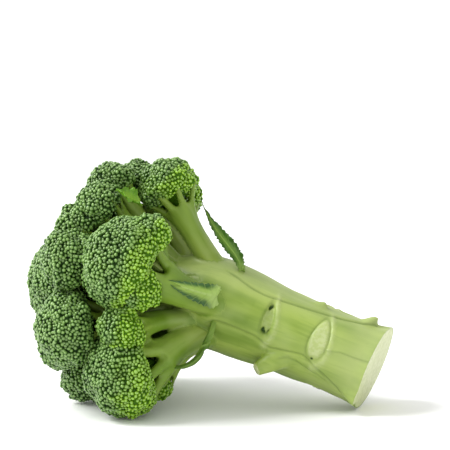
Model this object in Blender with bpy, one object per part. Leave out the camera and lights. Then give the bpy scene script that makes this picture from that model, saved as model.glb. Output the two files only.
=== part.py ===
"""A broccoli head, cut from its plant and lying on its side.

The head is designed the way it grew: cut face at the bottom, stalk up along +Z, a crown of florets
on top. Every shape is made in that growing frame and hangs from one empty, REST, which lays the
whole head down until it rests on two lower florets and on the rim of the cut face.

In the growing frame +X is the side that faces up on the lying head, and -Y is its front.
"""
import math

import bmesh
import bpy
from mathutils import Matrix, Vector
from mathutils.bvhtree import BVHTree

MM = 0.001
GAP = 0.3 * MM  # left between neighbours that grew together

# Driving dimensions, in metres.
CUT_RADIUS = 20.8 * MM  # radius of the stalk at its cut face
FORK_HEIGHT = 72 * MM  # height of the point on the axis from which the florets are placed
LYING_ANGLE = math.radians(21)  # slope of the stalk once the head lies down
CUT_SKEW = math.radians(10)  # the knife went through the stalk a little askew

# The stalk's outline from below the cut face to the tip of its core: height and radius, in mm.
STALK_OUTLINE = [
    (-6, 22.2), (0, 20.8), (7, 19.3), (26, 19.0), (48, 19.6), (66, 21.4),
    (78, 22.4), (88, 21.5), (97, 18.5), (106, 14.0), (114, 9.0), (118, 4.0),
]

# One row for each floret, in degrees and millimetres: the turn round the stalk and the lean away from
# it of the line to its centre, how far along that line its centre is from the fork point, and its
# radius; then the turn and the lean of the way its dome faces. Turn 0 is up on the lying head, 270
# is front and 180 is down.
FLORETS = {
    "top": (359, 41, 65, 16.2, 24, 40),
    "front": (282, 39.5, 61.5, 22.8, 302, 14),
    "front_upper_rim": (302, 47.5, 62, 11.2, 310, 66),
    "front_lower_rim": (272, 50.5, 58, 11.2, 266, 80),
    "front_small": (246, 51, 61, 13.4, 248, 62),
    "front_low": (224, 60, 61.5, 21.6, 214, 48),
    "low_small": (206, 68, 50, 10.2, 190, 74),
    "back_low": (142, 50, 70, 22.5, 142, 66),
    "back": (90, 42, 63, 23.0, 90, 50),
    "back_top": (37, 41, 66, 16.5, 45, 50),
    "low_front": (191, 46, 76, 14.6, 192, 52),
    "low_back": (168, 46, 76, 13.9, 168, 50),
    "crown_low_front": (206, 36, 83, 12.2, 206, 36),
    "crown_front": (230, 36.5, 77, 19.2, 230, 38),
    "crown_mid_front": (268, 23, 81, 16.4, 270, 30),
    "crown_top_front": (298, 19, 83, 12.8, 298, 20),
    "crown_upper_front": (320, 25, 80, 13.0, 318, 28),
    "crown_upper": (350, 25, 82, 13.8, 352, 30),
    "crown_top": (13, 9, 81, 14.0, 13, 9),
    "crown_top_back": (21, 30, 78, 14.0, 21, 32),
    "crown_upper_back": (68, 24, 82, 17.0, 68, 26),
    "crown_back": (108, 25, 82, 17.0, 108, 27),
    "crown_low_back": (147, 31, 82, 15.5, 147, 33),
    "crown_bottom": (178, 31, 83, 13.0, 178, 32),
    "crown_tip": (173, 13, 77, 26.4, 173, 10),
}
ARRIVES = {"front_low": 75}  # the lean at which a branch that bends outwards reaches its floret
SEATED = ("front_upper_rim", "front_lower_rim")  # side lobes that sit on the front floret's branch
RIM_LEAN = 37  # florets that lean at least this far hang on branches that leave the stalk lower down

DOME_START = 0.12  # half angle of the flat at the dome's top
DOME_END = math.radians(108)  # where the bud dome ends and the underside's cone starts
NECK_DEPTH = 0.72  # the branch meets the floret this far below its centre, in floret radii
NECK_RADIUS = 0.34  # radius of the neck there, in floret radii

# Each leaf: the points of its midrib's curve, the way its face looks, its width, its cup and its
# thickness, in millimetres. The first point lies just under the skin of the stalk.
LEAVES = {
    "leaf_long": ([(17, -8, 73), (26, -11, 77), (31, -11, 86), (44, -6, 104)], (0.3, -1, -0.35), 7, 1.8, 1.2),
    "leaf_small": ([(8, -20, 75), (8, -31, 80), (8, -37, 90), (9, -42, 101)], (0.1, -1, 0), 12, 2.2, 1.2),
    "leaf_strip": (
        [(-5, -19, 77), (-14, -27, 73), (-22, -29, 75), (-27, -28, 82)], (-1, -0.5, 0), 4, 0.8, 1.6
    ),
    "leaf_back": ([(2, 20, 76), (2, 31, 80), (4, 33, 89), (4, 30, 96)], (0, 1, 0), 11, 2.0, 1.2),
    "bract": ([(34, -20, 130), (35, -25, 132), (36, -28, 136), (37, -29, 140)], (1, -0.6, -0.4), 6, 1.2, 1.2),
}
# Cut leaf stems left on the stalk: where each starts under the skin, where its cut tip is, the
# radii of both ends, in millimetres.
STUBS = {
    "leaf_stub_front": ((-7, -15, 43), (-18, -21, 50), 5.4, 3.6),
    "leaf_stub_back": ((6, 16, 36), (13, 25, 43), 5.5, 4.0),
}


def clear_scene():
    for obj in list(bpy.data.objects):
        bpy.data.objects.remove(obj)


def material(name, colour, roughness):
    made = bpy.data.materials.new(name)
    made.use_nodes = True
    shader = made.node_tree.nodes["Principled BSDF"]
    shader.inputs["Base Color"].default_value = (*colour, 1)
    shader.inputs["Roughness"].default_value = roughness
    shader.inputs["Metallic"].default_value = 0
    return made


def node(name, bm, finish, parent, helper=False):
    """The bmesh as an object in the growing frame. A helper only cuts others."""
    bmesh.ops.recalc_face_normals(bm, faces=bm.faces)
    mesh = bpy.data.meshes.new(name)
    bm.to_mesh(mesh)
    bm.free()
    mesh.shade_smooth()
    mesh.set_sharp_from_angle(angle=math.radians(50))
    obj = bpy.data.objects.new(name, mesh)
    obj.data.materials.append(finish)
    obj.parent = parent
    obj.hide_render = helper
    if helper:
        obj.display_type = "WIRE"
    bpy.context.scene.collection.objects.link(obj)
    return obj


def axis_frame(origin, direction, reference=Vector((0, 0, 1))):
    """The matrix that carries local +Z to a direction and the origin to a place."""
    z = direction.normalized()
    x = reference.cross(z)
    if x.length < 1e-6:
        x = Vector((1, 0, 0))
    x.normalize()
    return Matrix.Translation(origin) @ Matrix((x, z.cross(x), z)).transposed().to_4x4()


def skin(rings):
    """Closed solid over a list of rings of points, each with the same number of points."""
    bm = bmesh.new()
    loops = [[bm.verts.new(point) for point in ring] for ring in rings]
    count = len(loops[0])
    for low, high in zip(loops, loops[1:]):
        for i in range(count):
            j = (i + 1) % count
            bm.faces.new((low[i], low[j], high[j], high[i]))
    bm.faces.new(list(reversed(loops[0])))
    bm.faces.new(loops[-1])
    return bm


def circle(radius, sides, height=0.0):
    angles = [2 * math.pi * i / sides for i in range(sides)]
    return [Vector((radius * math.cos(a), radius * math.sin(a), height)) for a in angles]


def lathe(outline, sides):
    """A turned solid from (height, radius) pairs, with flat ends."""
    return skin([circle(radius, sides, height) for height, radius in outline])


def tube(places, directions, radii, sides):
    rings = []
    for place, direction, radius in zip(places, directions, radii):
        frame = axis_frame(place, direction, Vector((0.3, 0.2, 1)))
        rings.append([frame @ point for point in circle(radius, sides)])
    return skin(rings)


def slice_off(bm, point, normal):
    """Cuts away what lies beyond a plane on the side its normal points to, and closes the cut."""
    geometry = bm.verts[:] + bm.edges[:] + bm.faces[:]
    cut = bmesh.ops.bisect_plane(
        bm, geom=geometry, dist=1e-7, plane_co=point, plane_no=normal, clear_outer=True
    )["geom_cut"]
    edges = [piece for piece in cut if isinstance(piece, bmesh.types.BMEdge)]
    if edges:
        bmesh.ops.edgeloop_fill(bm, edges=edges)


def direction_of(turn, lean):
    turn, lean = math.radians(turn), math.radians(lean)
    return Vector((math.sin(lean) * math.cos(turn), math.sin(lean) * math.sin(turn), math.cos(lean)))


def bezier(points, share):
    a, b, c, d = points
    rest = 1 - share
    return a * rest**3 + b * (3 * rest * rest * share) + c * (3 * rest * share * share) + d * share**3


def heading(points, share):
    return (bezier(points, min(1, share + 0.01)) - bezier(points, max(0, share - 0.01))).normalized()


class Floret:
    """Where one floret sits, which way it faces, and the branch that carries it."""

    def __init__(self, name, turn, lean, reach, size, faces_turn, faces_lean):
        self.size = size * MM
        fork = Vector((0, 0, FORK_HEIGHT))
        self.centre = fork + direction_of(turn, lean) * reach * MM
        self.axis = direction_of(faces_turn, faces_lean)
        end = self.centre - self.axis * NECK_DEPTH * self.size
        if lean >= RIM_LEAN:
            start = Vector((0, 0, 54 * MM))
            leaving = direction_of(turn, 0.5 * lean)
            self.thick = 0.28 * self.size + 2.2 * MM
        else:
            start = Vector((0, 0, 82 * MM))
            leaving = (end - start).normalized()
            self.thick = 0.16 * self.size + 0.9 * MM
        self.thin = min(self.thick, 0.22 * self.size + 0.8 * MM)
        span = (end - start).length
        arriving = direction_of(turn, ARRIVES[name]) if name in ARRIVES else self.axis
        self.route = [start, start + leaving * 0.45 * span, end - arriving * 0.3 * span, end]

    def dome(self, grow=0.0):
        """The bud dome, its conical underside and the flat of its neck."""
        radius = self.size + grow
        steps = 7
        outline = []
        for i in range(steps + 1):
            angle = DOME_START + (DOME_END - DOME_START) * i / steps
            outline.append((radius * math.cos(angle), radius * math.sin(angle)))
        outline.append((-NECK_DEPTH * self.size - grow, NECK_RADIUS * self.size + grow))
        bm = lathe(outline, 14)
        bm.transform(axis_frame(self.centre, self.axis))
        return bm

    def branch(self, grow=0.0):
        """The branch, from inside the stalk to the floret's neck."""
        shares = [i / 6 for i in range(7)]
        places = [bezier(self.route, share) for share in shares]
        directions = [heading(self.route, share) for share in shares]
        radii = [self.thick + (self.thin - self.thick) * share + grow for share in shares]
        return tube(places, directions, radii, 10)


def stalk_shape(grow=0.0):
    outline = [(height * MM, radius * MM + grow) for height, radius in STALK_OUTLINE]
    outline.append((outline[-1][0] + MM + grow, 1.5 * MM))
    bm = lathe(outline, 24)
    slice_off(bm, Vector((0, 0, 0)), Vector((0, -math.sin(CUT_SKEW), -math.cos(CUT_SKEW))))
    press_on_table(bm)
    return bm


def press_on_table(bm):
    """Flattens what would reach below the table, which touches the rim of the cut face."""
    up = Vector((math.cos(LYING_ANGLE), 0, math.sin(LYING_ANGLE)))
    touch = Vector((-CUT_RADIUS, 0, 0))
    if min((vertex.co - touch).dot(up) for vertex in bm.verts) < 0:
        slice_off(bm, touch, -up)


def make_florets(florets, buds, rest):
    """Each dome, pressed flat against its neighbours and, where it carries the head, by the table."""
    for name, floret in florets.items():
        bm = floret.dome()
        for other in florets.values():
            apart = other.centre - floret.centre
            if other is floret or apart.length > floret.size + other.size + GAP:
                continue
            share = (apart.length_squared + floret.size**2 - other.size**2) / (2 * apart.length_squared)
            face = floret.centre + apart * share - apart.normalized() * GAP / 2
            slice_off(bm, face, apart)
        press_on_table(bm)
        node("floret_" + name, bm, buds, rest)


class Neighbours:
    """Cutters, a gap larger than their pieces, that keep later pieces clear of earlier ones."""

    def __init__(self, finish, rest):
        self.finish = finish
        self.rest = rest
        self.cutters = {}

    def add(self, name, shape):
        tree = BVHTree.FromBMesh(shape)
        self.cutters[name] = (tree, node("cutter_" + name, shape, self.finish, self.rest, helper=True))

    def make_clear(self, name, shape, finish):
        tree = BVHTree.FromBMesh(shape)
        piece = node(name, shape, finish, self.rest)
        for other, (other_tree, cutter) in self.cutters.items():
            if other_tree.overlap(tree):
                cut = piece.modifiers.new("clear of " + other, "BOOLEAN")
                cut.operation = "DIFFERENCE"
                cut.solver = "EXACT"
                cut.object = cutter


def make_branches(florets, neighbours, flesh):
    """Each branch, thickest first, cut back from the stalk, all florets and the branches before it."""
    for name, floret in florets.items():
        neighbours.add("floret_" + name, floret.dome(GAP))
    carried = [name for name in florets if name not in SEATED]
    for name in sorted(carried, key=lambda key: florets[key].thick, reverse=True):
        neighbours.make_clear("branch_" + name, florets[name].branch(), flesh)
        neighbours.add("branch_" + name, florets[name].branch(GAP))


def leaf_shape(points, face, width, cup, thickness):
    """A cupped blade along its midrib, widest before the middle and closed at both ends."""
    route = [Vector(point) * MM for point in points]
    face = Vector(face).normalized()
    rings = []
    for share in (i / 8 for i in range(9)):
        along = heading(route, share)
        side = along.cross(face).normalized()
        out = side.cross(along).normalized()
        half = width * MM / 2 * (0.35 + 0.65 * math.sin(math.pi * min(1, share * 1.15) ** 0.8))
        place = bezier(route, share)
        lift = [cup * MM * (across * half * 2000 / width) ** 2 for across in (-1, -0.5, 0, 0.5, 1)]
        front = [place + side * half * a + out * h for a, h in zip((-1, -0.5, 0, 0.5, 1), lift)]
        back = [point - out * thickness * MM for point in reversed(front)]
        rings.append(front + back)
    return skin(rings)


def stub_shape(start, end, start_radius, end_radius):
    places = [Vector(start) * MM, Vector(end) * MM]
    direction = places[1] - places[0]
    return tube(places, [direction, direction], [start_radius * MM, end_radius * MM], 10)


def make_leaves(neighbours, leaf, flesh):
    for name, numbers in LEAVES.items():
        neighbours.make_clear(name, leaf_shape(*numbers), leaf)
    for name, numbers in STUBS.items():
        neighbours.make_clear(name, stub_shape(*numbers), flesh)


def lay_down(rest):
    """Turns the head onto its side and puts the origin under the middle of its box."""
    along = Vector((-math.cos(LYING_ANGLE), 0, math.sin(LYING_ANGLE)))
    up = Vector((math.sin(LYING_ANGLE), 0, math.cos(LYING_ANGLE)))
    turn = Matrix((up, Vector((0, 1, 0)), along)).transposed().to_4x4()
    rest.matrix_world = turn
    bpy.context.view_layer.update()
    graph = bpy.context.evaluated_depsgraph_get()
    corners = [
        obj.matrix_world @ vertex.co
        for obj in rest.children if not obj.hide_render
        for vertex in obj.evaluated_get(graph).data.vertices
    ]
    low = [min(corner[i] for corner in corners) for i in range(3)]
    high = [max(corner[i] for corner in corners) for i in range(3)]
    shift = Vector((-(low[0] + high[0]) / 2, -(low[1] + high[1]) / 2, -low[2]))
    rest.matrix_world = Matrix.Translation(shift) @ turn


def main():
    clear_scene()
    rest = bpy.data.objects.new("REST", None)
    bpy.context.scene.collection.objects.link(rest)
    flesh = material("stalk_flesh", (0.42, 0.55, 0.20), 0.45)
    buds = material("buds", (0.10, 0.22, 0.06), 0.6)
    leaf = material("leaf", (0.13, 0.30, 0.12), 0.5)
    florets = {name: Floret(name, *numbers) for name, numbers in FLORETS.items()}
    node("stalk", stalk_shape(), flesh, rest)
    make_florets(florets, buds, rest)
    neighbours = Neighbours(flesh, rest)
    neighbours.add("stalk", stalk_shape(GAP))
    make_branches(florets, neighbours, flesh)
    make_leaves(neighbours, leaf, flesh)
    lay_down(rest)


main()
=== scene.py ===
# %% [markdown]
# A head of broccoli lies on a pale table. Its stalk and branches are one smooth body, its crown is
# made of florets, and every floret is covered with hundreds of small closed buds. This lesson
# builds those three things, then a few small leaves, their materials, and a soft studio light.
#
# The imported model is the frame: it holds a plain solid for every floret and branch. Nothing here
# moves it, and each piece made here takes the place of one or more of its solids.

# %% Open the frame
import math

import bmesh
import bpy
import numpy as np
from mathutils import Matrix, Vector, noise


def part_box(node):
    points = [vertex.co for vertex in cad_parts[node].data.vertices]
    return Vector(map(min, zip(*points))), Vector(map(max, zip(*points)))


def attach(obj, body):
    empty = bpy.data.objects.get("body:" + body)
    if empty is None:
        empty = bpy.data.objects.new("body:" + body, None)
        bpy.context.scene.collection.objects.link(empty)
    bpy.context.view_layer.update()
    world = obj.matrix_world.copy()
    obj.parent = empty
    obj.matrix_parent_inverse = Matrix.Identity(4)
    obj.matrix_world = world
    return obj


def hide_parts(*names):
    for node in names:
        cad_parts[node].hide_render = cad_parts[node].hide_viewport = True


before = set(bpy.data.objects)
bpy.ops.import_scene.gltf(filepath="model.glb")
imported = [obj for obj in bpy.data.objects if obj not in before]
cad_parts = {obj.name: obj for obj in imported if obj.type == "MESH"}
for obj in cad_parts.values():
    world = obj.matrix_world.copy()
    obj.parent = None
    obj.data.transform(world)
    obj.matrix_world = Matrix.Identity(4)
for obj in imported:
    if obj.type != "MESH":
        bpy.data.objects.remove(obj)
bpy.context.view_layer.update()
print("the frame holds", len(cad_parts), "nodes")

# %% [markdown]
# A plant is easiest to describe the way it grew: cut face at the bottom, stalk up along Z. The
# head lies down, so every shape is made in that growing frame and turned at the end. The turn is
# the slope of the stalk, and the shift comes from the stalk's own box.

# %% The growing frame
MM = 0.001
LYING_ANGLE = math.radians(21)
CUT_RADIUS = 20.8 * MM
CUT_SKEW = math.radians(10)
FORK_HEIGHT = 72 * MM
CORE_TIP = (119 * MM, 1.5 * MM)  # height and radius of the flat at the tip of the stalk's core


def growing_to_table():
    """The matrix from the growing frame to the table's frame."""
    along = Vector((-math.cos(LYING_ANGLE), 0, math.sin(LYING_ANGLE)))
    up = Vector((math.sin(LYING_ANGLE), 0, math.cos(LYING_ANGLE)))
    turn = Matrix((up, Vector((0, 1, 0)), along)).transposed().to_4x4()
    low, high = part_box("stalk")
    tip_height, tip_radius = CORE_TIP
    shift_x = low.x + tip_height * math.cos(LYING_ANGLE) + tip_radius * math.sin(LYING_ANGLE)
    shift = Vector((shift_x, (low.y + high.y) / 2, CUT_RADIUS * math.cos(LYING_ANGLE)))
    return Matrix.Translation(shift) @ turn


TO_TABLE = growing_to_table()
TURN = np.array(TO_TABLE.to_3x3())
SHIFT = np.array(TO_TABLE.translation)
print("the cut face's centre is at", [round(value * 1000, 1) for value in TO_TABLE.translation], "mm")

# %% [markdown]
# The florets stand round a fork point on the stalk's axis. Each row gives the turn round the
# stalk and the lean away from it in degrees, the reach from the fork point and the radius in
# millimetres, then the turn and the lean of the way its dome faces, and how yellow its buds are.
# Turn 0 is up on the lying head, 270 is its front and 180 is down.

# %% The florets' places
FLORETS = {
    "top": (359, 41, 65, 16.2, 24, 40, 1.15),
    "front": (282, 39.5, 61.5, 22.8, 302, 14, 0.7),
    "front_upper_rim": (302, 47.5, 62, 11.2, 310, 66, 0.95),
    "front_lower_rim": (272, 50.5, 58, 11.2, 266, 80, 1.0),
    "front_small": (246, 51, 61, 13.4, 248, 62, 1.3),
    "front_low": (224, 60, 61.5, 21.6, 214, 48, 0.55),
    "low_small": (206, 68, 50, 10.2, 190, 74, 0.8),
    "back_low": (142, 50, 70, 22.5, 142, 66, 0.4),
    "back": (90, 42, 63, 23.0, 90, 50, 0.4),
    "back_top": (37, 41, 66, 16.5, 45, 50, 0.5),
    "low_front": (191, 46, 76, 14.6, 192, 52, 0.1),
    "low_back": (168, 46, 76, 13.9, 168, 50, 0.1),
    "crown_low_front": (206, 36, 83, 12.2, 206, 36, 0.0),
    "crown_front": (230, 36.5, 77, 19.2, 230, 38, 0.0),
    "crown_mid_front": (268, 23, 81, 16.4, 270, 30, 0.0),
    "crown_top_front": (298, 19, 83, 12.8, 298, 20, 0.0),
    "crown_upper_front": (320, 25, 80, 13.0, 318, 28, 0.1),
    "crown_upper": (350, 25, 82, 13.8, 352, 30, 0.15),
    "crown_top": (13, 9, 81, 14.0, 13, 9, 0.0),
    "crown_top_back": (21, 30, 78, 14.0, 21, 32, 0.1),
    "crown_upper_back": (68, 24, 82, 17.0, 68, 26, 0.0),
    "crown_back": (108, 25, 82, 17.0, 108, 27, 0.0),
    "crown_low_back": (147, 31, 82, 15.5, 147, 33, 0.0),
    "crown_bottom": (178, 31, 83, 13.0, 178, 32, 0.0),
    "crown_tip": (173, 13, 77, 26.4, 173, 10, 0.0),
}
ARRIVES = {"front_low": 75}  # the lean at which a branch that bends outwards reaches its floret
SEATED = ("front_upper_rim", "front_lower_rim")  # side lobes that sit on the front floret's branch
RIM_LEAN = 37  # florets that lean at least this far hang on branches that leave the stalk lower down
NECK_DEPTH = 0.72  # the branch meets the floret this far below its centre, in floret radii


def direction_of(turn, lean):
    turn, lean = math.radians(turn), math.radians(lean)
    return Vector((math.sin(lean) * math.cos(turn), math.sin(lean) * math.sin(turn), math.cos(lean)))


def bezier(points, share):
    a, b, c, d = points
    rest = 1 - share
    return a * rest**3 + b * (3 * rest * rest * share) + c * (3 * rest * share * share) + d * share**3


class Floret:
    """Where one floret sits, which way it faces, and the branch that carries it."""

    def __init__(self, name, turn, lean, reach, size, faces_turn, faces_lean, yellow):
        self.name = name
        self.size = size * MM
        self.yellow = yellow
        self.rim = lean >= RIM_LEAN
        self.kind = "rim" if self.rim else "crown"
        self.centre = Vector((0, 0, FORK_HEIGHT)) + direction_of(turn, lean) * reach * MM
        self.axis = direction_of(faces_turn, faces_lean)
        self.neck = self.centre - self.axis * NECK_DEPTH * self.size
        start = Vector((0, 0, (54 if self.rim else 82) * MM))
        leaving = direction_of(turn, 0.5 * lean) if self.rim else (self.neck - start).normalized()
        arriving = direction_of(turn, ARRIVES[name]) if name in ARRIVES else self.axis
        span = (self.neck - start).length
        self.route = [start, start + leaving * 0.45 * span, self.neck - arriving * 0.3 * span, self.neck]
        self.thick = (0.28 * size + 2.2 if self.rim else 0.16 * size + 0.9) * MM
        self.thin = min(self.thick, (0.22 * size + 0.8) * MM)


florets = [Floret(name, *numbers) for name, numbers in FLORETS.items()]
boxed = 0
for floret in florets:
    low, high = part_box("floret_" + floret.name)
    centre = TO_TABLE @ floret.centre
    boxed += all(low[i] < centre[i] < high[i] for i in range(3))
print(len(florets), "florets,", boxed, "of them centred inside their own box in the frame")

# %% [markdown]
# A floret is a cluster of small domes, its lobes, that grew from one heart. Their directions are
# spread like the seeds of a sunflower, which keeps them evenly apart without lining them up, and a
# little chance makes no two florets alike.

# %% The lobes of a floret
LOBE_SPACING = 10.5 * MM
KNOT_SIZE = 6 * MM
KNOT_DEPTH = 1.6 * MM
BUD_STANDS_OUT = 0.9 * MM  # buds stand this far out of the skin, so the skin lies that much deeper
GOLDEN_ANGLE = math.pi * (3 - math.sqrt(5))
LOBES_END = 112  # degrees from the floret's axis to its last lobes
BARE_FROM = {"rim": 126, "crown": 114}  # degrees from the axis to where the buds thin out
BARE_OVER = 9  # degrees more to where there are none
# Radius as a share of the dome's, by the angle from the floret's axis: the bud dome curls under
# at its rim, the underside is hollow, and the branch meets it on the axis.
RIM_PROFILE = ([0, 100, 109, 118, 130, 145, 160, 172, 180], [1, 1, 0.95, 0.78, 0.6, 0.52, 0.52, 0.62, 0.7])


def lobe_directions(radius, rng):
    """Directions of the lobes, spread like the seeds of a sunflower over the dome and its rim."""
    cap = 1 - math.cos(math.radians(LOBES_END))
    count = max(9, round(2 * math.pi * cap * (radius / LOBE_SPACING) ** 2))
    height = 1 - (np.arange(count) + 0.5) / count * cap
    around = GOLDEN_ANGLE * np.arange(count) + rng.uniform(0, 6.28)
    flat = np.sqrt(1 - height**2)
    spread = np.stack([flat * np.cos(around), flat * np.sin(around), height], 1)
    spread += rng.normal(0, 0.09, spread.shape)
    return spread / np.linalg.norm(spread, axis=1, keepdims=True)


def axes_of(direction):
    """Rows: two directions across the given one, and itself."""
    z = direction.normalized()
    x = Vector((0.3, 0.2, 1)).cross(z).normalized()
    return np.array([x, z.cross(x), z])


for index, floret in enumerate(florets):
    rng = np.random.default_rng(100 + index)
    floret.axes = axes_of(floret.axis)
    floret.lobes = lobe_directions(floret.size, rng) @ floret.axes
    floret.lobe_reach = floret.size * rng.uniform(0.95, 1.04, len(floret.lobes))
print("the florets have", sum(len(floret.lobes) for floret in florets), "lobes in all")

# %% [markdown]
# If every lobe is a sphere that passes through the heart, the distance to its skin along a
# direction is just its diameter times the cosine of the angle between them, and the whole cluster
# is the largest of those. That gives round lobes with creases between them in one line of
# arithmetic. A cell pattern adds the knots of about ten buds that such a lobe is made of.

# %% The skin of a floret

def skin_radius(floret, directions):
    """How far the skin is from the heart along each direction."""
    lobes = (directions @ floret.lobes.T) * floret.lobe_reach
    lean = np.degrees(np.arccos(np.clip(directions @ floret.axes[2], -1, 1)))
    profile = np.interp(lean, *RIM_PROFILE)
    dome = np.maximum(lobes.max(axis=1), 0.9 * floret.size) * profile
    return np.where(lean < 118, dome, floret.size * profile) - BUD_STANDS_OUT


def smooth_step(value, low, high):
    share = np.clip((value - low) / (high - low), 0, 1)
    return share * share * (3 - 2 * share)


def wavy(points, size, seed):
    """Smooth noise from -1 to 1 at each point, with waves of the given size."""
    offset = Vector((seed * 7.3, seed * 3.1, seed * 5.7))
    return np.array([noise.noise(Vector(point) / size + offset) for point in points])


def knots(points):
    """Rounded cells: 0 on the crease between two of them, up to 1 at the middle of each."""
    near = np.array([noise.voronoi(Vector(point) / KNOT_SIZE)[0][:2] for point in points])
    return np.clip((near[:, 1] - near[:, 0]) * 1.8, 0, 1) ** 0.6


def store(mesh, name, values, kind="FLOAT"):
    """Keeps one value, or one vector, for each point of the mesh."""
    layer = mesh.attributes.new(name, kind, "POINT")
    layer.data.foreach_set("value" if kind == "FLOAT" else "vector", np.ravel(values).astype(np.float32))


def floret_skin(floret):
    """The skin as a mesh on the table, with how clothed, how yellow and how large its buds are."""
    bm = bmesh.new()
    bmesh.ops.create_icosphere(bm, subdivisions=5 if floret.size > 12 * MM else 4, radius=1)
    directions = np.array([vertex.co for vertex in bm.verts])
    radius = skin_radius(floret, directions)
    points = np.array(floret.centre) + directions * radius[:, None]
    lean = np.degrees(np.arccos(np.clip(directions @ floret.axes[2], -1, 1)))
    on_dome = 1 - smooth_step(lean, 105, 120)
    knot = knots(points)
    points += directions * ((knot - 1) * KNOT_DEPTH * on_dome)[:, None]
    on_table = points @ TURN.T + SHIFT
    on_table[:, 2] = np.maximum(on_table[:, 2], BUD_STANDS_OUT)
    for vertex, place in zip(bm.verts, on_table):
        vertex.co = place
    mesh = bpy.data.meshes.new("floret_" + floret.name)
    bm.to_mesh(mesh)
    bm.free()
    bare_from = BARE_FROM[floret.kind]
    clothed = 1 - smooth_step(lean + 8 * wavy(points, 6 * MM, 2), bare_from, bare_from + BARE_OVER)
    for other in florets:
        away = points - np.array(other.centre)
        distance = np.linalg.norm(away, axis=1)
        if other is not floret and distance.min() < other.size:
            inside = distance < skin_radius(other, away / distance[:, None]) - 0.8 * MM
            clothed[inside] = 0
    shade_side = smooth_step(-directions[:, 2] + 0.3 * wavy(points, 9 * MM, 3), -0.25, 0.6)
    yellow = np.clip(floret.yellow * (0.15 + 1.2 * shade_side + 0.3 * wavy(points, 12 * MM, 4)), 0, 1)
    store(mesh, "clothed", clothed)
    store(mesh, "yellow", yellow)
    store(mesh, "knot", knot)
    store(mesh, "bud_size", (1 - 0.2 * yellow) * (0.88 + 0.16 * knot))
    return mesh


reaches = skin_radius(florets[1], florets[1].lobes) / MM
print("the front floret's skin lies", round(reaches.min(), 1), "to", round(reaches.max(), 1), "mm out")

# %% [markdown]
# The buds repeat thousands of times, which is work for Geometry Nodes: points are spread over the
# skin no closer than one bud to the next, a small ball is put on each and turned to face outwards,
# and the result is made real. Each bud keeps how yellow it is, a tone of its own, and its height
# from its foot to its tip, so that one material can colour them all.

# %% The bud nodes
BUD_SPACING = {"rim": 1.32 * MM, "crown": 1.26 * MM}
BUD_RADIUS = {"rim": 1.14 * MM, "crown": 1.1 * MM}
BUD_SWELL = (0.78, 1.2)  # least and most, drawn for each bud's length, width and height


def bud_tree():
    """Geometry Nodes that cover a skin with buds."""
    tree = bpy.data.node_groups.new("buds_on_skin", "GeometryNodeTree")
    face = tree.interface
    face.new_socket("Skin", in_out="INPUT", socket_type="NodeSocketGeometry")
    for name, kind in (
        ("Spacing", "NodeSocketFloat"), ("Radius", "NodeSocketFloat"),
        ("Seed", "NodeSocketInt"), ("Bud finish", "NodeSocketMaterial"),
    ):
        face.new_socket(name, in_out="INPUT", socket_type=kind)
    face.new_socket("Floret", in_out="OUTPUT", socket_type="NodeSocketGeometry")
    given = tree.nodes.new("NodeGroupInput").outputs
    done = tree.nodes.new("NodeGroupOutput").inputs

    def add(kind, settings=None, inputs=None):
        made = tree.nodes.new(kind)
        for name, value in (settings or {}).items():
            setattr(made, name, value)
        for key, value in (inputs or {}).items():
            if isinstance(value, bpy.types.NodeSocket):
                tree.links.new(value, made.inputs[key])
            else:
                made.inputs[key].default_value = value
        return made

    def named(name):
        made = add("GeometryNodeInputNamedAttribute", {"data_type": "FLOAT"}, {"Name": name})
        return made.outputs["Attribute"]

    def stored(geometry, name, value):
        settings = {"data_type": "FLOAT", "domain": "POINT"}
        inputs = {"Geometry": geometry, "Name": name, "Value": value}
        return add("GeometryNodeStoreNamedAttribute", settings, inputs).outputs["Geometry"]

    def times(first, second):
        return add("ShaderNodeMath", {"operation": "MULTIPLY"}, {0: first, 1: second}).outputs[0]

    spread = add(
        "GeometryNodeDistributePointsOnFaces", {"distribute_method": "POISSON"},
        {"Mesh": given["Skin"], "Distance Min": given["Spacing"], "Density Max": 3e6,
         "Density Factor": named("clothed"), "Seed": given["Seed"]},
    )
    tone = add("FunctionNodeRandomValue", {"data_type": "FLOAT"}, {"Seed": given["Seed"]})
    points = stored(spread.outputs["Points"], "bud_tone", tone.outputs[1])
    ball = add("GeometryNodeMeshUVSphere", inputs={"Segments": 7, "Rings": 5, "Radius": 1.0}).outputs["Mesh"]
    place = add("GeometryNodeInputPosition").outputs["Position"]
    apart = add("ShaderNodeSeparateXYZ", inputs={0: place})
    foot_to_tip = {"Value": apart.outputs["Z"], "From Min": -0.2, "From Max": 1.0}
    height = add("ShaderNodeMapRange", inputs=foot_to_tip)
    ball = stored(ball, "bud_height", height.outputs["Result"])
    least, most = BUD_SWELL
    swell = add(
        "FunctionNodeRandomValue", {"data_type": "FLOAT_VECTOR"}, {0: (least,) * 3, 1: (most,) * 3, "Seed": 7}
    )
    size = add("ShaderNodeVectorMath", {"operation": "SCALE"}, {0: swell.outputs[0]})
    tree.links.new(times(given["Radius"], named("bud_size")), size.inputs["Scale"])
    buds = add(
        "GeometryNodeInstanceOnPoints",
        inputs={"Points": points, "Instance": ball, "Rotation": spread.outputs["Rotation"],
                "Scale": size.outputs[0]},
    )
    real = add("GeometryNodeRealizeInstances", inputs={"Geometry": buds.outputs["Instances"]})
    soft = add("GeometryNodeSetShadeSmooth", inputs={"Geometry": real.outputs["Geometry"]})
    both = add("GeometryNodeJoinGeometry", inputs={"Geometry": soft.outputs[0]})
    # The skin between the buds gets height 0, so the finish covers it with the painted shade of the gaps.
    tree.links.new(stored(given["Skin"], "bud_height", 0.0), both.inputs["Geometry"])
    painted = {"Geometry": both.outputs["Geometry"], "Material": given["Bud finish"]}
    paint = add("GeometryNodeSetMaterial", inputs=painted)
    tree.links.new(paint.outputs["Geometry"], done["Floret"])
    return tree


buds_on_skin = bud_tree()
print("the bud tree has", len(buds_on_skin.nodes), "nodes")

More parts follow.
